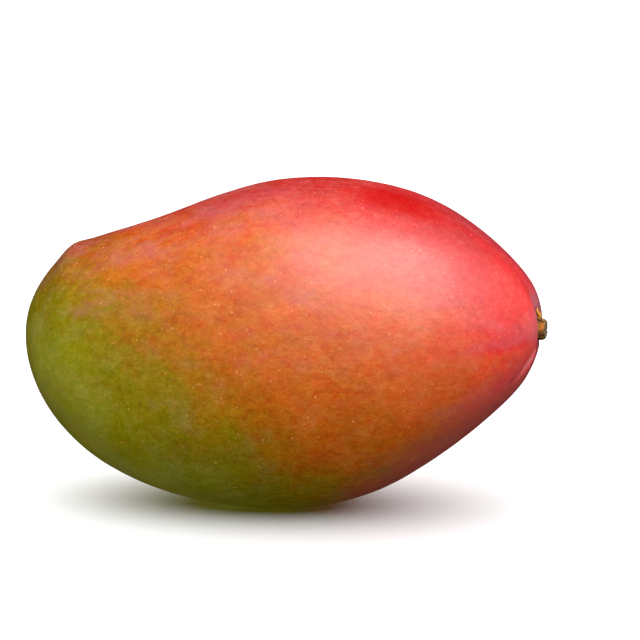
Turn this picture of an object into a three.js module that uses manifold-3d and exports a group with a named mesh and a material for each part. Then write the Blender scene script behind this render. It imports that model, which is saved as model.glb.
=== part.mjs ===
// A whole ripe mango with the dry stub of its stem, resting on its lower edge.
//
// Millimetres, +Z up. X runs along the fruit: the stem points to +X and the apex to -X.
// The flat stone inside a mango lies in the XZ plane, so the outline that shows the shoulder,
// the sinus and the beak is seen along Y, and the two broad cheeks face -Y and +Y.
// The origin is under the middle of the object, on the surface that it rests on.

import * as THREE from "three";
import { mergeVertices } from "three/addons/utils/BufferGeometryUtils.js";
import Module from "manifold-3d";

const wasm = await Module();
wasm.setup();

// ---------------------------------------------------------------- driving dimensions

// The fruit's body, before its own features are added.
const halfLength = 73.3; // middle to apex, and middle to the dome round the stem
const halfHeight = 47.3; // half the height of the outline
const halfThickness = 40.0; // half the distance from cheek to cheek
const restDepth = 1.0; // how far the skin is pressed flat where the fruit rests

// What turns the plain oval outline into this fruit's. Round the outline, 0 degrees is the
// stem, 90 the upper (ventral) edge, 180 the apex and -90 the lower (dorsal) edge. Each
// feature lifts the outline by `lift` at `at` degrees, fading out over `spread` degrees.
const outlineFeatures = [
  { name: "stem shoulder", at: 9, spread: 18, lift: 4.5 },
  { name: "ventral shoulder", at: 54, spread: 36, lift: 3.4 },
  { name: "sinus", at: 119, spread: 23, lift: -6.7 },
  { name: "beak", at: 145, spread: 5, lift: 1.3 },
  { name: "apex", at: -173, spread: 18, lift: 1.7 },
  { name: "dorsal taper", at: -35, spread: 36, lift: 9.3 },
  { name: "dorsal belly", at: -72, spread: 18, lift: -1.2 },
];

// How the cheeks differ from those of an ellipsoid.
const endFullness = 0.04; // blunter at both ends,
const stemFullness = 0.05; // fuller towards the stem than towards the apex,
const flankFullness = 0.05; // and fuller between the middle of the cheek and the edges
const edgeNarrowing = 0.05; // the upper edge is narrower than the lower one,
const beakNarrowing = 0.1; // most of all along the ridge that runs to the beak
const farCheekFullness = 0.03; // one cheek stands out more than the other
const swellHeight = 0.35; // slow swells of the skin

// The hollow that holds the stem, and the folds of skin that run out of it.
const stemDrop = 0.8; // the stem stands a little below the end of the outline
const hollowDepth = 2.4;
const hollowRadius = 3.8;
const shoulderLift = 0.8; // the cheeks swell up on both sides of the hollow
const shoulderReach = 8.0; // distance of each swelling from the stem's axis
const dorsalFold = { depth: 1.1, halfWidth: 1.7, middle: 6, reach: 5.5 };
const ventralFold = { depth: 0.6, halfWidth: 1.9, middle: 4, reach: 3.5 };

// The stub of the stem. Its heights are measured from the floor of the hollow.
const stubRadius = 3.1;
const stubHeight = 4.5;
const collarRadius = 3.8; // the corky ring at its foot
const collarTop = 1.3;
const rimRadius = 2.5; // the edge of the cut end, which is a little sunken
const cutDepth = 0.4;
const rootRadius = 2.5; // the root stands in the flesh
const rootDepth = 2.0;
const stubUnevenness = 0.07;
const shredLength = 2.9; // the shred of collar that runs up the skin over the stub
const rootGap = 0.3; // the clearance between the stub and the flesh

// Facets.
const sectionSides = 64;
const sectionCount = 54;
const stemCrowding = 1.55; // above 1, the sections crowd towards the stem
const stubSides = 28;

// ---------------------------------------------------------------- the skin

const radians = THREE.MathUtils.degToRad;
const bell = (distance) => Math.exp(-distance * distance);

// Degrees from one place on the outline to another, the short way round.
const degreesBetween = (from, to) => THREE.MathUtils.euclideanModulo(to - from + 180, 360) - 180;

function outlineHeight(degrees) {
  let height = halfHeight * (1 + Math.sin(radians(degrees)));
  for (const { at, spread, lift } of outlineFeatures) {
    height += lift * bell(degreesBetween(at, degrees) / spread);
  }
  return height;
}

const stemHeight = outlineHeight(0) - stemDrop;

// How far the skin is drawn in near the stem, at a place given by its distances from the
// stem's axis. The cheeks' swellings count the other way.
function stemHollow(across, above) {
  const basin = hollowDepth * bell(Math.hypot(across, above) / hollowRadius);
  const { depth, halfWidth, middle, reach } = above < 0 ? dorsalFold : ventralFold;
  const fold = depth * bell(across / halfWidth) * bell((Math.abs(above) - middle) / reach);
  const beside = bell((Math.abs(across) - shoulderReach) / (0.6 * shoulderReach));
  return basin + fold - shoulderLift * beside * bell(above / shoulderReach);
}

// A place on the skin: `along` is in degrees, from 0 at the stem to 180 at the apex, and
// `round` in radians round the section there, from its top.
function skinPoint(along, round) {
  const top = outlineHeight(along);
  const bottom = outlineHeight(-along);
  const girth = Math.sin(radians(along));
  const towardsStem = Math.cos(radians(along));

  const swell =
    (swellHeight / halfThickness) *
    girth *
    (Math.sin(2 * round + 0.8) * Math.sin(radians(3 * along) + 0.5) +
      0.6 * Math.sin(3 * round - 1.1) * Math.sin(radians(5 * along) + 1.7));

  const lengthwise = 1 + endFullness * Math.cos(radians(2 * along)) + stemFullness * towardsStem;
  const narrowing = edgeNarrowing + beakNarrowing * bell((along - 130) / 40);
  const roundwise = 1 + flankFullness * Math.cos(round) ** 2 - narrowing * Math.cos(round);
  const farCheek = 1 + farCheekFullness * girth * Math.max(Math.sin(round), 0) ** 2;
  const thickness = halfThickness * girth * lengthwise * roundwise * farCheek;

  const across = thickness * (1 + swell) * Math.sin(round);
  const height = (top + bottom) / 2 + ((top - bottom) / 2) * (1 + swell) * Math.cos(round);
  const drawnIn = along < 90 ? stemHollow(across, height - stemHeight) : 0;
  return new THREE.Vector3(halfLength * towardsStem - drawnIn, across, height);
}

// A sphere whose poles become the stem's place and the apex, with every vertex moved to
// the skin.
function skinGeometry() {
  const geometry = new THREE.SphereGeometry(1, sectionSides, sectionCount);
  const position = geometry.getAttribute("position");
  const onSphere = new THREE.Vector3();
  for (let i = 0; i < position.count; i++) {
    onSphere.fromBufferAttribute(position, i);
    const share = Math.acos(THREE.MathUtils.clamp(onSphere.y, -1, 1)) / Math.PI;
    const skin = skinPoint(180 * share ** stemCrowding, Math.atan2(onSphere.z, onSphere.x));
    position.setXYZ(i, skin.x, skin.y, skin.z);
  }
  return geometry;
}

// What lies below the surface that the fruit rests on. It takes off the lowest skin.
function groundGeometry() {
  const depth = 4 * restDepth;
  return new THREE.BoxGeometry(2 * halfLength, 2 * halfThickness, depth).translate(0, 0, -depth / 2);
}

// ---------------------------------------------------------------- the stub of the stem

// A lathed piece that runs along +Y, turned to stand on the stem's axis, along +X.
function turnedOnStemAxis(profile, sides) {
  const geometry = new THREE.LatheGeometry(
    profile.map(([radius, height]) => new THREE.Vector2(radius, height)),
    sides,
  );
  return geometry.rotateZ(-Math.PI / 2);
}

// The hole in the flesh that the root stands in.
function rootHoleGeometry() {
  const radius = rootRadius + rootGap;
  const bottom = -rootDepth - rootGap;
  const mouth = hollowDepth;
  return turnedOnStemAxis([[0, bottom], [radius, bottom], [radius, mouth], [0, mouth]], stubSides);
}

// Root, corky collar, woody stub and cut end in one lathed profile, made uneven by hand.
function stubGeometry() {
  const geometry = turnedOnStemAxis(
    [
      [0, -rootDepth],
      [rootRadius, -rootDepth],
      [rootRadius, 0.1],
      [collarRadius, 0.4],
      [collarRadius, 0.75 * collarTop],
      [stubRadius, collarTop],
      [0.93 * stubRadius, 0.65 * stubHeight],
      [stubRadius, 0.85 * stubHeight],
      [rimRadius, stubHeight],
      [0.6 * rimRadius, stubHeight - cutDepth],
      [0, stubHeight - cutDepth],
    ],
    stubSides,
  );
  const position = geometry.getAttribute("position");
  for (let i = 0; i < position.count; i++) {
    const round = Math.atan2(position.getY(i), position.getZ(i));
    const uneven = 1 + stubUnevenness * (Math.sin(3 * round + 0.6) + 0.5 * Math.sin(5 * round + 2));
    if (position.getX(i) > 0) {
      position.setY(i, position.getY(i) * uneven);
      position.setZ(i, position.getZ(i) * uneven);
    }
  }
  return geometry;
}

// A shred of the collar that lies up the skin above the stub.
function shredGeometry() {
  const geometry = new THREE.SphereGeometry(1, 14, 8);
  geometry.scale(0.8, 1.3, shredLength);
  geometry.rotateY(radians(-12));
  geometry.translate(0.62 * hollowDepth, -0.3, stubRadius + 0.3 * shredLength);
  return geometry;
}

// ---------------------------------------------------------------- solids

function solidOf(geometry) {
  const bare = geometry.clone();
  bare.deleteAttribute("normal");
  bare.deleteAttribute("uv");
  const merged = mergeVertices(bare);
  return new wasm.Manifold(
    new wasm.Mesh({
      numProp: 3,
      vertProperties: merged.getAttribute("position").array,
      triVerts: Uint32Array.from(merged.index.array),
    }),
  );
}

function meshOf(name, solid, material) {
  const { vertProperties, triVerts } = solid.getMesh();
  const geometry = new THREE.BufferGeometry();
  geometry.setAttribute("position", new THREE.BufferAttribute(vertProperties, 3));
  geometry.setIndex(new THREE.BufferAttribute(triVerts, 1));
  geometry.computeVertexNormals();
  const mesh = new THREE.Mesh(geometry, new THREE.MeshStandardMaterial(material));
  mesh.name = name;
  return mesh;
}

// ---------------------------------------------------------------- the mango

const skin = skinGeometry();
skin.computeBoundingBox();
const drop = skin.boundingBox.min.z + restDepth;
skin.translate(0, 0, -drop);

const hollowFloor = skinPoint(0, 0).x;
const ontoStemAxis = [hollowFloor, 0, stemHeight - drop];

const flesh = solidOf(skin)
  .subtract(solidOf(groundGeometry()))
  .subtract(solidOf(rootHoleGeometry().translate(...ontoStemAxis)));
const stub = solidOf(stubGeometry())
  .add(solidOf(shredGeometry()))
  .translate(ontoStemAxis)
  .subtract(flesh.translate([rootGap, 0, 0]));

const mango = new THREE.Group();
mango.add(meshOf("fruit", flesh, { color: 0xd4602f, roughness: 0.42, metalness: 0 }));
mango.add(meshOf("stem_stub", stub, { color: 0x6b5a33, roughness: 0.85, metalness: 0 }));

// The origin goes under the middle of the whole object.
const middle = new THREE.Box3().setFromObject(mango).getCenter(new THREE.Vector3());
mango.position.set(-middle.x, -middle.y, 0);

export default mango;
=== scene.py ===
# A ripe mango with the dry stub of its stem, lying on its lower edge.
# Metres, +Z up: the stem points to +X, the apex to -X, and the broad cheeks face -Y and +Y.
import math

import bmesh
import bpy
from mathutils import Matrix, Vector, noise


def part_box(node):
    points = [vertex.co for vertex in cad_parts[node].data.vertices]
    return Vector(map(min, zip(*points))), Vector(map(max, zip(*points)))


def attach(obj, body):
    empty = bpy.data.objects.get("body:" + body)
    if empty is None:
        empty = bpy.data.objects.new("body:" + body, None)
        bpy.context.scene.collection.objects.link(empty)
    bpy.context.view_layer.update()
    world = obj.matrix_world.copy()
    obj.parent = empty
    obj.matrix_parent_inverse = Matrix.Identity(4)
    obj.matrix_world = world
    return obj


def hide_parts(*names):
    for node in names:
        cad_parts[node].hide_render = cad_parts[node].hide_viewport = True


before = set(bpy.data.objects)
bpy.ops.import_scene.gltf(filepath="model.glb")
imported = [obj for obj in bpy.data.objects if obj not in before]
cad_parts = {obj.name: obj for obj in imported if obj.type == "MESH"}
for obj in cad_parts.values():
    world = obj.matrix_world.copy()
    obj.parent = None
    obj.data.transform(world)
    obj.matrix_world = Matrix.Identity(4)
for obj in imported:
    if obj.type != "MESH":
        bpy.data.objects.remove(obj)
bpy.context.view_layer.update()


# ------------------------------------------------------------------------------ the fruit
# The whole fruit is one grown piece: a long kidney with flattened cheeks, a sinus and a beak
# on its upper edge, and a hollow with folds of skin at the stem. It starts as a sphere whose
# poles become the stem's place and the apex, and every vertex is moved to the skin.

half_length = 0.0733  # middle to apex, and middle to the dome round the stem
half_height = 0.0473
half_thickness = 0.0400
rest_depth = 0.0010  # how far the skin is pressed flat where the fruit rests

# What turns an oval outline into this one: each feature lifts it round one angle. 0 degrees
# is the stem, 90 the upper edge, 180 the apex and -90 the lower edge.
outline_features = {
    "stem shoulder": {"at": 9, "spread": 18, "lift": 0.0045},
    "ventral shoulder": {"at": 54, "spread": 36, "lift": 0.0034},
    "sinus": {"at": 119, "spread": 23, "lift": -0.0067},
    "beak": {"at": 145, "spread": 5, "lift": 0.0013},
    "apex": {"at": -173, "spread": 18, "lift": 0.0017},
    "dorsal taper": {"at": -35, "spread": 36, "lift": 0.0093},
    "dorsal belly": {"at": -72, "spread": 18, "lift": -0.0012},
}

# How the cheeks differ from those of an ellipsoid.
end_fullness = 0.04  # blunter at both ends
stem_fullness = 0.05  # fuller towards the stem than towards the apex
flank_fullness = 0.05  # fuller between the middle of the cheek and the edges
edge_narrowing = 0.05  # narrower along the upper edge than along the lower one
beak_narrowing = 0.1  # most of all on the ridge that runs to the beak
beak_ridge_at = 130  # degrees from the stem
beak_ridge_spread = 40
far_cheek_fullness = 0.03  # the far cheek stands out more than the near one

# The stem's place, and the hollow that the stem stands in, with a swelling on either side.
stem_drop = 0.0008  # the stem stands a little below the end of the outline
hollow_depth = 0.0024
hollow_radius = 0.0038
shoulder_lift = 0.0009
shoulder_reach = 0.0080
shoulder_spread = 0.6 * shoulder_reach

# Folds of skin that run out from the stem. Each goes towards an angle round the stem: 0 degrees
# is up, 90 the far cheek, 180 down and 270 the near cheek.
stem_folds = (
    {"towards": 346, "depth": 0.0014, "half_width": 0.0028, "middle": 0.0084, "reach": 0.0066},
    {"towards": 226, "depth": 0.0018, "half_width": 0.0012, "middle": 0.0086, "reach": 0.0060},
    {"towards": 182, "depth": 0.0008, "half_width": 0.0016, "middle": 0.0058, "reach": 0.0040},
    {"towards": 118, "depth": 0.0006, "half_width": 0.0018, "middle": 0.0066, "reach": 0.0040},
)

# Slow swells of the skin: waves round each section that change along the fruit.
swell_height = 0.00035
swells = (
    {"share": 1.0, "waves_round": 2, "turned": 0.8, "waves_along": 3, "shifted": 0.5},
    {"share": 0.6, "waves_round": 3, "turned": -1.1, "waves_along": 5, "shifted": 1.7},
)

# The slight dents and ripples that every skin has.
dent_height = 0.00016
dents_per_metre = 70
ripple_height = 0.00004
ripples_per_metre = 260

skin_sides = 288
skin_rings = 220
stem_crowding = 1.35  # above 1, the rings crowd towards the stem


def bell(distance):
    return math.exp(-distance * distance)


def outline_height(degrees):
    height = half_height * (1 + math.sin(math.radians(degrees)))
    for feature in outline_features.values():
        apart = (degrees - feature["at"] + 180) % 360 - 180
        height += feature["lift"] * bell(apart / feature["spread"])
    return height


stem_height = outline_height(0) - stem_drop


def stem_hollow(across, above):
    """How far the skin is drawn in near the stem, at distances from the stem's axis."""
    drawn_in = hollow_depth * bell(math.hypot(across, above) / hollow_radius)
    for fold in stem_folds:
        sideways = math.sin(math.radians(fold["towards"]))
        upwards = math.cos(math.radians(fold["towards"]))
        along = across * sideways + above * upwards
        aside = across * upwards - above * sideways
        crease = bell(aside / fold["half_width"]) * bell((along - fold["middle"]) / fold["reach"])
        drawn_in += fold["depth"] * crease
    beside = bell((abs(across) - shoulder_reach) / shoulder_spread)
    return drawn_in - shoulder_lift * beside * bell(above / shoulder_reach)


def unevenness(place):
    """The dents and ripples of the skin, in metres outwards."""
    dents = dent_height * noise.noise(place * dents_per_metre)
    ripples = ripple_height * noise.noise(place * ripples_per_metre + Vector((7, 3, 1)))
    return dents + ripples


def skin_place(along, around):
    """The skin at `along` degrees from the stem and `around` radians from the upper edge."""
    top, bottom = outline_height(along), outline_height(-along)
    girth = math.sin(math.radians(along))
    towards_stem = math.cos(math.radians(along))

    swell = 0
    for wave in swells:
        round_section = math.sin(wave["waves_round"] * around + wave["turned"])
        along_fruit = math.sin(math.radians(wave["waves_along"] * along) + wave["shifted"])
        swell += wave["share"] * round_section * along_fruit
    swell *= swell_height / half_thickness * girth

    lengthwise = 1 + end_fullness * math.cos(math.radians(2 * along))
    lengthwise += stem_fullness * towards_stem
    narrowing = edge_narrowing + beak_narrowing * bell((along - beak_ridge_at) / beak_ridge_spread)
    roundwise = 1 + flank_fullness * math.cos(around) ** 2 - narrowing * math.cos(around)
    far_cheek = 1 + far_cheek_fullness * girth * max(math.sin(around), 0) ** 2
    thickness = half_thickness * girth * lengthwise * roundwise * far_cheek

    across = thickness * (1 + swell) * math.sin(around)
    height = (top + bottom) / 2 + (top - bottom) / 2 * (1 + swell) * math.cos(around)
    drawn_in = stem_hollow(across, height - stem_height) if along < 90 else 0
    return Vector((half_length * towards_stem - drawn_in, across, height))


def new_piece(name, shape, material):
    """A smooth-shaded object named `name` from the bmesh it is given."""
    mesh = bpy.data.meshes.new(name)
    bmesh.ops.recalc_face_normals(shape, faces=shape.faces)
    for face in shape.faces:
        face.smooth = True
    shape.to_mesh(mesh)
    shape.free()
    mesh.materials.append(material)
    piece = bpy.data.objects.new(name, mesh)
    bpy.context.scene.collection.objects.link(piece)
    return piece


skin_mesh = bmesh.new()
bmesh.ops.create_uvsphere(skin_mesh, u_segments=skin_sides, v_segments=skin_rings, radius=1)
for vertex in skin_mesh.verts:
    share = math.acos(max(-1, min(1, vertex.co.z))) / math.pi
    around = math.atan2(-vertex.co.y, vertex.co.x)
    vertex.co = skin_place(180 * share**stem_crowding, around)
skin_mesh.normal_update()
lifts = [unevenness(vertex.co) for vertex in skin_mesh.verts]
for vertex, lift in zip(skin_mesh.verts, lifts):
    vertex.co += lift * vertex.normal

# The fruit is set where the frame has it, and pressed flat on the surface.
cad_low, cad_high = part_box("fruit")
skin_low = Vector([min(vertex.co[axis] for vertex in skin_mesh.verts) for axis in range(3)])
skin_high = Vector([max(vertex.co[axis] for vertex in skin_mesh.verts) for axis in range(3)])
to_frame = (cad_low + cad_high - skin_low - skin_high) / 2
to_frame.z = -skin_low.z - rest_depth
for vertex in skin_mesh.verts:
    vertex.co += to_frame
    vertex.co.z = max(vertex.co.z, 0)

# Places on the skin: the floor of the stem's hollow, the beak, and the top of the shoulder.
stem_place = Vector((skin_place(0, 0).x, 0, stem_height)) + to_frame
beak_place = skin_place(outline_features["beak"]["at"], 0) + to_frame
shoulder_place = skin_place(61, -0.25) + to_frame


class Wire:
    """An output of a shader node. Sums and products of wires add their own Math nodes."""

    def __init__(self, tree, socket=None):
        self.tree = tree
        self.socket = socket

    def node(self, kind, settings=None, sockets=None, output=0):
        """Adds a node: its settings are set first, then the values or links of its sockets."""
        node = self.tree.nodes.new(kind)
        for name, value in (settings or {}).items():
            if name == "stops":
                ramp = node.color_ramp
                while len(ramp.elements) < len(value):
                    ramp.elements.new(0.5)
                for stop, (position, colour) in zip(ramp.elements, value):
                    stop.position = position
                    stop.color = (*colour, 1)
            else:
                setattr(node, name, value)
        for name, value in (sockets or {}).items():
            if isinstance(value, Wire):
                self.tree.links.new(value.socket, node.inputs[name])
            else:
                node.inputs[name].default_value = value
        return Wire(self.tree, node.outputs[output])

    def beside(self, output):
        """Another output of the same node."""
        return Wire(self.tree, self.socket.node.outputs[output])

    def into(self, socket):
        self.tree.links.new(self.socket, socket)

    def __add__(self, other):
        return self.node("ShaderNodeMath", {"operation": "ADD"}, {0: self, 1: other})

    __radd__ = __add__

    def __mul__(self, other):
        return self.node("ShaderNodeMath", {"operation": "MULTIPLY"}, {0: self, 1: other})

    __rmul__ = __mul__

    def __sub__(self, other):
        return self.node("ShaderNodeMath", {"operation": "SUBTRACT"}, {0: self, 1: other})

    def __rsub__(self, other):
        return self.node("ShaderNodeMath", {"operation": "SUBTRACT"}, {0: other, 1: self})

    def __rtruediv__(self, other):
        return self.node("ShaderNodeMath", {"operation": "DIVIDE"}, {0: other, 1: self})


def vectors(operation, first, second=None, output="Vector"):
    """Vector maths on a wire, and on a second wire or fixed vector where it takes two."""
    sockets = {0: first} if second is None else {0: first, 1: second}
    return first.node("ShaderNodeVectorMath", {"operation": operation}, sockets, output)


def smooth_step(value, low, high):
    """From 0 where the value is `low` to 1 where it is `high`, and flat beyond them."""
    return value.node(
        "ShaderNodeMapRange",
        {"interpolation_type": "SMOOTHSTEP"},
        {"Value": value, "From Min": low, "From Max": high},
    )


def srgb(red, green, blue):
    """A colour given in display values of 0 to 255, as the linear values of a shader."""
    parts = [value / 255 for value in (red, green, blue)]
    return tuple(c / 12.92 if c <= 0.04045 else ((c + 0.055) / 1.055) ** 2.4 for c in parts)


def blend_colours(amount, first, second):
    """`first` where the amount is 0 and `second` where it is 1: wires, or fixed colours."""
    first_socket, second_socket, colour_output = 6, 7, 2
    sockets = {"Factor": amount, first_socket: first, second_socket: second}
    for number in (first_socket, second_socket):
        if not isinstance(sockets[number], Wire):
            sockets[number] = (*sockets[number], 1)
    return amount.node("ShaderNodeMix", {"data_type": "RGBA"}, sockets, colour_output)


def new_material(name):
    """A material with one Principled BSDF: returns the material, its shader and a first wire."""
    material = bpy.data.materials.new(name)
    material.use_nodes = True
    shader = material.node_tree.nodes["Principled BSDF"]
    return material, shader, Wire(material.node_tree)


def speckle(place, scale, detail=2, roughness=0.5, stretch=1, shift=0, output="Fac"):
    """Noise from 0 to 1, with specks that are `stretch` times as long along X as across it."""
    mapped = place.node(
        "ShaderNodeMapping",
        sockets={"Vector": place, "Location": (shift, shift, shift), "Scale": (1 / stretch, 1, 1)},
    )
    return place.node(
        "ShaderNodeTexNoise",
        sockets={"Vector": mapped, "Scale": scale, "Detail": detail, "Roughness": roughness},
        output=output,
    )


def cloud(place, scale, **more):
    """The same noise from about -1 to 1."""
    return (speckle(place, scale, **more) - 0.5) * 3


def lenticels(place, spacing, radius, shift):
    """Round dots inside the skin: where they are, and a random share for each."""
    mapped = place.node(
        "ShaderNodeMapping", sockets={"Vector": place, "Location": (shift, shift, shift)}
    )
    away = place.node("ShaderNodeTexVoronoi", sockets={"Vector": mapped, "Scale": 1 / spacing})
    chance = place.node("ShaderNodeSeparateColor", sockets={"Color": away.beside("Color")})
    return (1 - smooth_step(away, 0.35 * radius / spacing, radius / spacing)) * chance


# The skin as it ripens, from the lower side of the apex to the upper side of the stem end.
ripening_colours = (
    (0.00, srgb(154, 150, 52)),  # pale olive
    (0.10, srgb(140, 137, 36)),
    (0.17, srgb(129, 123, 20)),  # olive
    (0.24, srgb(124, 109, 6)),
    (0.31, srgb(130, 102, 2)),  # bronze
    (0.38, srgb(152, 92, 2)),
    (0.46, srgb(171, 86, 2)),  # ochre
    (0.58, srgb(180, 82, 4)),
    (0.70, srgb(185, 79, 12)),  # orange
    (0.78, srgb(187, 74, 18)),
    (0.85, srgb(186, 57, 16)),  # orange red
    (0.91, srgb(178, 34, 10)),
    (0.96, srgb(168, 14, 6)),  # red
    (1.00, srgb(163, 6, 6)),
)
flush_red = srgb(158, 10, 8)
stem_red = srgb(206, 24, 10)
# painted shade under the stem end
under_stem_shade_red = srgb(158, 24, 26)
band_red = srgb(164, 0, 0)
# painted shade round the beak
beak_shade_brown = srgb(138, 52, 20)
# painted shade on the far shoulder
shoulder_shade_purple = srgb(92, 40, 60)
# bloom, with painted sheen on the upper half and at the stem, painted shade under it
bloom_and_sheen_mauve = srgb(172, 104, 116)
green_side_dot = srgb(226, 160, 104)
red_side_dot = srgb(222, 112, 84)
green_side_speck = srgb(216, 144, 34)
red_side_speck = srgb(212, 84, 28)

# What one unit of noise adds to the skin's red, green and blue.
green_side_grain = (0.09, 0.065, 0.026)
red_side_grain = (0.08, 0.045, 0.040)
grey_tint = (0.0, 0.016, 0.013)
lean_reach = (0.62, 0.95, 0.62)  # as a share of the skin's own colour


def skin_material():
    """Skin that ripens from olive at the lower side of the apex to red at the stem."""
    material, shader, wire = new_material("mango_skin")
    place = wire.node("ShaderNodeTexCoord", output="Object")
    x = wire.node("ShaderNodeSeparateXYZ", sockets={"Vector": place})
    y = x.beside("Y")
    z = x.beside("Z")
    lengthwise = x * (1 / half_length)
    upwards = z * (1 / half_height) - 1

    # Blotches are drawn out from stem to apex: their places are wrapped round the stem's axis.
    from_axis = vectors("SUBTRACT", place, (0, 0, stem_place.z))
    from_axis = vectors("MULTIPLY", from_axis, (0, 1, 1))
    least_reach = 0.025
    reach = vectors("LENGTH", from_axis, output="Value")
    reach = wire.node("ShaderNodeMath", {"operation": "MAXIMUM"}, {0: reach, 1: least_reach})
    outwards = wire.node(
        "ShaderNodeVectorMath",
        {"operation": "SCALE"},
        {0: from_axis, "Scale": half_thickness / reach},
    )
    wrapped = vectors("ADD", vectors("MULTIPLY", place, (1, 0, 0)), outwards)

    patches = cloud(place, 38, detail=1)
    blotches = cloud(wrapped, 95, stretch=1.3, shift=3)
    mottles = cloud(place, 330, detail=4, roughness=0.92, stretch=1.6, shift=5)
    greyness = cloud(wrapped, 130, stretch=1.3, shift=23)
    suede = cloud(place, 480, detail=3, roughness=1, stretch=1.4, shift=29)

    # Broad streaks run together at the stem: their places go by the direction from its axis.
    converging = vectors("MULTIPLY", place, (0.6 / half_length, 0, 0))
    converging = vectors("ADD", converging, vectors("NORMALIZE", from_axis))
    streaks = cloud(converging, 2.2, roughness=0.6, shift=60)
    streaks = streaks * smooth_step(lengthwise - 0.5 * upwards, 0.45, 0.85)

    # Ripening runs from the lower side of the apex to the upper side of the stem end.
    ripeness = lengthwise + 0.8 * upwards
    evenness = 1 - 0.75 * smooth_step(ripeness, 0.6, 1.1)
    ripeness = ripeness + 0.09 * patches + (0.12 * blotches + 0.07 * mottles) * evenness
    ripeness = ripeness + 0.45 * streaks
    skin = wire.node(
        "ShaderNodeValToRGB", {"stops": ripening_colours}, {"Fac": ripeness * 0.4 + 0.5}
    )
    red_share = smooth_step(ripeness, 0.2, 0.9)

    # The side that faced the sun is flushed red as far as the beak, and so is the stem end.
    flush = smooth_step(upwards - 0.35 * lengthwise + 0.06 * blotches, 0.71, 0.98)
    near_stem = smooth_step(lengthwise, 0.66, 0.94)
    under_stem_shade = smooth_step(lengthwise - 0.8 * upwards, 0.82, 1.15)
    skin = blend_colours(0.85 * flush, skin, flush_red)
    skin = blend_colours(0.6 * near_stem, skin, stem_red)
    # Painted shade: the underside of the stem end is darkened to crimson.
    skin = blend_colours(0.4 * under_stem_shade, skin, under_stem_shade_red)

    # Painted shade: the skin round the beak is drawn browner and darker.
    from_beak = vectors("DISTANCE", place, beak_place, output="Value")
    skin = blend_colours(0.5 * smooth_step(from_beak, 0.026, 0.004), skin, beak_shade_brown)

    # Patches of skin lean a little to red or olive, some are greyer, and all of it is grainy.
    lean = speckle(wrapped, 150, roughness=1, stretch=1.4, shift=14, output="Color")
    lean = vectors("MULTIPLY", vectors("SUBTRACT", lean, (0.5, 0.5, 0.5)), lean_reach)
    lean = blend_colours(0.65 * smooth_step(ripeness, -0.3, -0.9), lean, (0, 0, 0))
    skin = vectors("MULTIPLY", skin, vectors("ADD", lean, (1, 1, 1)))
    skin = vectors("ADD", skin, vectors("MULTIPLY", greyness, grey_tint))
    grain_colour = blend_colours(red_share, green_side_grain, red_side_grain)
    skin = vectors("ADD", skin, vectors("MULTIPLY", suede, grain_colour))
    skin = vectors("MAXIMUM", skin, (0, 0, 0))

    # Mauve bloom lies in soft patches. Its extra weight on the upper half is partly painted sheen
    # of the light from above, on the lip of the stem's hollow it is painted sheen, and under the
    # stem end it is painted shade.
    bloom_and_sheen = 0.6 * upwards + 0.5 * cloud(wrapped, 60, stretch=1.3, shift=11)
    bloom_and_sheen = bloom_and_sheen + 0.35 * cloud(wrapped, 170, stretch=1.4, shift=23) + 0.4 * mottles
    bloom_and_sheen = smooth_step(bloom_and_sheen, 0.0, 1.3) * (1 - 0.8 * smooth_step(ripeness, 0.6, 1.0))
    bloom_and_sheen = bloom_and_sheen * (1 - 0.8 * near_stem) + 0.4 * smooth_step(streaks + 0.2 * greyness, 0.0, 0.7)
    from_stem = vectors("DISTANCE", place, stem_place, output="Value")
    lip_sheen = smooth_step(from_stem, 0.013, 0.006) * smooth_step(upwards, -0.05, 0.25)
    bloom_and_sheen = bloom_and_sheen + 0.7 * under_stem_shade + 1.4 * lip_sheen
    skin = blend_colours(0.45 * bloom_and_sheen, skin, bloom_and_sheen_mauve)

    # It is reddest on top of the shoulder, in a band that runs along the fruit.
    from_band = vectors("MULTIPLY", vectors("SUBTRACT", place, shoulder_place), (0.4, 1, 1))
    from_band = vectors("LENGTH", from_band, output="Value")
    from_band = from_band + 0.0022 * blotches + 0.0008 * mottles
    red_band = smooth_step(from_band, 0.0105, 0.0005)
    skin = blend_colours(0.85 * red_band, skin, band_red)

    # Painted shade: the far shoulder beside the stem, which turns away from the light, is
    # darkened.
    far_shoulder_shade = smooth_step(y, -0.009, 0.003) * smooth_step(lengthwise, 0.4, 0.85)
    skin = blend_colours(0.42 * far_shoulder_shade, skin, shoulder_shade_purple)

    # Pale dots are strewn all over it, with finer specks between them.
    dots = lenticels(place, spacing=0.0024, radius=0.00042, shift=1)
    specks = lenticels(place, spacing=0.0010, radius=0.00025, shift=2)
    dot_colour = blend_colours(red_share, green_side_dot, red_side_dot)
    speck_colour = blend_colours(red_share, green_side_speck, red_side_speck)
    skin = blend_colours(0.62 * dots, skin, dot_colour)
    skin = blend_colours((0.5 - 0.15 * red_share) * specks, skin, speck_colour)
    skin.into(shader.inputs["Base Color"])

    # It is waxy, and shinier at the apex than at the stem.
    roughness = 0.38 + 0.18 * smooth_step(ripeness, -0.5, 0.5) + 0.06 * mottles
    roughness = roughness - 0.18 * red_band
    roughness.into(shader.inputs["Roughness"])
    shader.inputs["IOR"].default_value = 1.5
    shader.inputs["Specular IOR Level"].default_value = 0.85
    shader.inputs["Coat Weight"].default_value = 0.4
    shader.inputs["Coat Roughness"].default_value = 0.3
    grain = cloud(place, 800, detail=3, roughness=0.7, stretch=1.5, shift=17)
    relief = 0.5 * grain + 0.5 * mottles + 0.8 * dots
    bump = wire.node(
        "ShaderNodeBump", sockets={"Strength": 0.5, "Distance": 0.0001, "Height": relief}
    )
    bump.into(shader.inputs["Normal"])
    return material


fruit = new_piece("fruit_skin", skin_mesh, skin_material())
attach(fruit, "root")
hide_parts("fruit")


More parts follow.
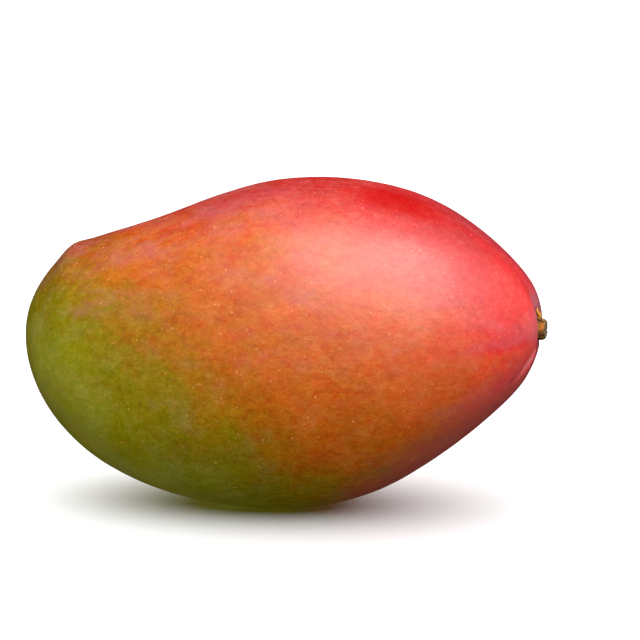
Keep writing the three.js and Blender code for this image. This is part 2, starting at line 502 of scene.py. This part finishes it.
# ------------------------------------------------------------------------------ the stub
# What is left of the stem: a short woody stub that was cut across, standing in a corky collar
# where it grew out of the hollow, with a shred of the collar's bark lying up the skin.

stub_radius = 0.0031
stub_height = 0.0045  # from the floor of the hollow
root_radius = 0.0024
root_depth = 0.0018
collar_radius = 0.0037
collar_top = 0.0014
rim_radius = 0.0026
pith_radius = 0.0006
cut_depth = 0.0004
stub_sides = 96
cuts_between_rings = 3

# How uneven the wood is: as shares of its radius, and in metres for its ragged end.
out_of_round = 0.07
fibre_relief = 0.05
collar_lumps = 0.10
broad_raggedness = 0.00030
fine_raggedness = 0.00016

shred_half_length = 0.0023
shred_half_width = 0.0014
shred_half_thickness = 0.0006
shred_lean = math.radians(-12)
shred_crumple = 0.00045
shred_fraying = 0.00018
shred_seed = 4  # the noise that crumples the shred is the same in every run

wood_colours = (
    (0.25, srgb(34, 22, 10)),
    (0.42, srgb(78, 50, 16)),
    (0.55, srgb(124, 84, 32)),
    (0.72, srgb(160, 122, 66)),
)
cut_colours = (
    (0.2, srgb(40, 33, 20)),
    (0.5, srgb(84, 72, 48)),
    (0.8, srgb(148, 134, 106)),
)
cork_colours = (
    (0.36, srgb(84, 34, 8)),
    (0.48, srgb(168, 104, 26)),
    (0.66, srgb(206, 156, 66)),
)
orange_bark = srgb(170, 88, 8)


def stub_surface(place):
    """Wood made uneven: fibres along the stub, a lumpy collar and a ragged, cracked end."""
    height = place.x
    radius = math.hypot(place.y, place.z)
    if height < 0 or radius < 1e-6:
        return place
    round_stub = Vector((place.y / radius, place.z / radius, 0))
    along = Vector((0, 0, 300 * height))
    in_collar = max(0, min(1, (1.25 * collar_top - height) / (0.5 * collar_top)))
    near_end = max(0, min(1, (height - 0.6 * stub_height) / (0.4 * stub_height)))
    on_wall = max(0, min(1, radius / rim_radius - 0.4))

    widening = out_of_round * noise.noise(1.3 * round_stub)
    widening += fibre_relief * noise.noise(5 * round_stub + 0.4 * along) * on_wall
    widening += collar_lumps * noise.noise(3.5 * round_stub + 2.2 * along) * in_collar * on_wall
    ragged = broad_raggedness * noise.noise(2.3 * round_stub + Vector((5, 2, 0)))
    ragged += fine_raggedness * noise.noise(9 * round_stub + Vector((1, 7, 900 * radius)))
    moved = place * (1 + widening)
    moved.x = height + ragged * near_end
    return moved


def stub_wood_mesh():
    """The stub's profile, spun round its axis, which runs along X from the hollow's floor."""
    profile = [
        (-root_depth, 0),
        (-root_depth, root_radius),
        (0.0001, root_radius),
        (0.0003, 0.96 * collar_radius),
        (0.6 * collar_top, collar_radius),
        (0.92 * collar_top, 0.95 * collar_radius),
        (1.05 * collar_top, 1.02 * stub_radius),
        (0.60 * stub_height, 0.95 * stub_radius),
        (0.72 * stub_height, 0.96 * stub_radius),
        (0.85 * stub_height, 0.90 * stub_radius),
        (0.95 * stub_height, 0.78 * stub_radius),
        (stub_height, 0.7 * rim_radius),
        (stub_height - 0.7 * cut_depth, 0.55 * rim_radius),
        (stub_height - 0.8 * cut_depth, pith_radius),
        (stub_height - 2 * cut_depth, 0.5 * pith_radius),
        (stub_height - 2 * cut_depth, 0),
    ]
    wood = bmesh.new()
    corners = [wood.verts.new((height, 0, radius)) for height, radius in profile]
    sides = [wood.edges.new(pair) for pair in zip(corners, corners[1:])]
    bmesh.ops.subdivide_edges(wood, edges=sides, cuts=cuts_between_rings)
    bmesh.ops.spin(
        wood,
        geom=wood.verts[:] + wood.edges[:],
        axis=(1, 0, 0),
        angle=2 * math.pi,
        steps=stub_sides,
        use_merge=True,
    )
    bmesh.ops.remove_doubles(wood, verts=wood.verts, dist=1e-6)
    for vertex in wood.verts:
        vertex.co = stub_surface(vertex.co) + stem_place
    return wood


def shred_mesh():
    """A thin curled strip of bark, wider at its foot than at its tip."""
    noise.seed_set(shred_seed)
    bark = bmesh.new()
    bmesh.ops.create_uvsphere(bark, u_segments=60, v_segments=48, radius=1)
    lean = Matrix.Rotation(shred_lean, 3, "Y")
    middle = Vector((0.78 * hollow_depth, -0.0004, stub_radius + 0.3 * shred_half_length))
    for vertex in bark.verts:
        upwards = vertex.co.z
        vertex.co.x = shred_half_thickness * vertex.co.x * (1 - 0.4 * upwards) + 0.0005
        vertex.co.y = shred_half_width * vertex.co.y * (1 - 0.35 * upwards) - 0.0003 * upwards
        vertex.co.z = shred_half_length * upwards
        vertex.co += shred_crumple * noise.noise_vector(vertex.co * 800)
        vertex.co += shred_fraying * noise.noise_vector(vertex.co * 2600)
        vertex.co = lean @ vertex.co + middle + stem_place
    return bark


def dry_stem_material():
    """Dry brown wood with fibres, a grey weathered cut and an ochre corky collar."""
    material, shader, wire = new_material("dry_stem_wood")
    place = wire.node("ShaderNodeTexCoord", output="Object")
    on_axis = wire.node(
        "ShaderNodeMapping", sockets={"Vector": place, "Location": tuple(-stem_place)}
    )
    height = wire.node("ShaderNodeSeparateXYZ", sockets={"Vector": on_axis})
    radius = vectors("LENGTH", vectors("MULTIPLY", on_axis, (0, 1, 1)), output="Value")

    fibres = speckle(on_axis, 1800, detail=3, roughness=0.65, stretch=1 / 0.15)
    patches = speckle(on_axis, 420, roughness=0.65, stretch=2)
    crumbs = speckle(on_axis, 2200, detail=3, roughness=0.65)
    wood = wire.node(
        "ShaderNodeValToRGB", {"stops": wood_colours}, {"Fac": fibres * 0.6 + patches * 0.4}
    )
    wood = blend_colours(0.6 * smooth_step(patches, 0.5, 0.62), wood, orange_bark)

    # The cut end has weathered grey, with faint rings.
    on_cut = smooth_step(height, 0.84 * stub_height, 0.95 * stub_height)
    rings = wire.node("ShaderNodeMath", {"operation": "SINE"}, {0: radius * 9000})
    greying = crumbs * 0.8 + rings * 0.06 + 0.1
    cut = wire.node("ShaderNodeValToRGB", {"stops": cut_colours}, {"Fac": greying})
    wood = blend_colours(on_cut, wood, cut)

    # The collar and the shred are corky: ochre, with dark pits.
    collar = 1 - smooth_step(height, 0.9 * collar_top, 1.25 * collar_top)
    outside = smooth_step(radius, 1.2 * stub_radius, 1.35 * stub_radius)
    cork = wire.node("ShaderNodeValToRGB", {"stops": cork_colours}, {"Fac": crumbs})
    wood = blend_colours(0.8 * (collar + outside), wood, cork)
    wood.into(shader.inputs["Base Color"])
    shader.inputs["Roughness"].default_value = 0.8
    shader.inputs["Specular IOR Level"].default_value = 0.3
    relief = fibres * 0.6 + crumbs * 0.6
    bump = wire.node(
        "ShaderNodeBump", sockets={"Strength": 0.8, "Distance": 0.00025, "Height": relief}
    )
    bump.into(shader.inputs["Normal"])
    return material


dry_stem = dry_stem_material()
for name, shape in (("stem_wood", stub_wood_mesh()), ("stem_shred", shred_mesh())):
    part_of_stem = new_piece(name, shape, dry_stem)
    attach(part_of_stem, "root")
    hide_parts("stem_stub")


# ------------------------------------------------------------------------------ the stage
# The fruit lies on a pale matt floor, under a plain white backdrop that gives no light. The
# floor has a lamp of its own, and all the others light the fruit alone.

floor_reach = 30
floor_white = (0.9, 0.9, 0.9, 1)

floor_mesh = bmesh.new()
bmesh.ops.create_grid(floor_mesh, x_segments=1, y_segments=1, size=floor_reach)
floor_material, floor_shader, _ = new_material("pale_floor")
floor_shader.inputs["Base Color"].default_value = floor_white
floor_shader.inputs["Roughness"].default_value = 0.9
floor_shader.inputs["Specular IOR Level"].default_value = 0
floor = new_piece("floor", floor_mesh, floor_material)
floor.visible_diffuse = False
floor.visible_glossy = False
floor.visible_shadow = False

floor_only = bpy.data.collections.new("floor_only")
floor_only.objects.link(floor)
all_but_floor = bpy.data.collections.new("all_but_floor")
all_but_floor.objects.link(floor)
all_but_floor.collection_objects[0].light_linking.link_state = "EXCLUDE"

world = bpy.data.worlds.new("backdrop")
bpy.context.scene.world = world
world.use_nodes = True
world.node_tree.nodes["Background"].inputs["Color"].default_value = (1, 1, 1, 1)
world.cycles_visibility.diffuse = False
world.cycles_visibility.glossy = False


def soft_light(name, towards, angle, strength, gloss=True, lights=all_but_floor):
    """Light from the direction `towards`, as wide as `angle` degrees."""
    lamp = bpy.data.lights.new(name, "SUN")
    lamp.angle = math.radians(angle)
    lamp.energy = strength
    lamp.cycles.use_multiple_importance_sampling = gloss
    light = bpy.data.objects.new(name, lamp)
    light.rotation_mode = "QUATERNION"
    light.rotation_quaternion = Vector(towards).to_track_quat("Z", "Y")
    light.visible_glossy = gloss
    light.light_linking.receiver_collection = lights
    bpy.context.scene.collection.objects.link(light)


soft_light("key", (0.31, -0.51, 0.80), 60, 4.8)
soft_light("overhead", (-0.1, -0.2, 0.95), 70, 0.5, gloss=False)
soft_light("back_wall", (0.0, 0.9, 0.35), 80, 1.4, gloss=False)
soft_light("left_wall", (-0.8, -0.4, 0.4), 100, 0.3, gloss=False)
soft_light("right_wall", (0.9, 0.1, 0.4), 70, 0.9)
soft_light("ceiling", (-0.2, 0, 1), 178, 1.4, gloss=False)
soft_light("floor_glow", (0, 0, -1), 178, 1.1, gloss=False)
soft_light("above_floor", (0, 0.19, 1), 140, 5.65, gloss=False, lights=floor_only)


# ------------------------------------------------------------------------------ the camera
# A long lens, a little above the fruit and turned towards its stem.

camera_target = Vector((0.0099, 0, 0.0527))
camera_distance = 1.1
camera_azimuth = math.radians(9)
camera_elevation = math.radians(12)
towards_camera = Vector(
    (
        math.sin(camera_azimuth) * math.cos(camera_elevation),
        -math.cos(camera_azimuth) * math.cos(camera_elevation),
        math.sin(camera_elevation),
    )
)
camera_lens = bpy.data.cameras.new("camera")
camera_lens.lens = 220
camera_lens.sensor_width = 36
camera = bpy.data.objects.new("camera", camera_lens)
camera.rotation_mode = "QUATERNION"
camera.location = camera_target + camera_distance * towards_camera
camera.rotation_quaternion = towards_camera.to_track_quat("Z", "Y")
bpy.context.scene.collection.objects.link(camera)
bpy.context.scene.camera = camera
bpy.context.scene.view_settings.view_transform = "Standard"
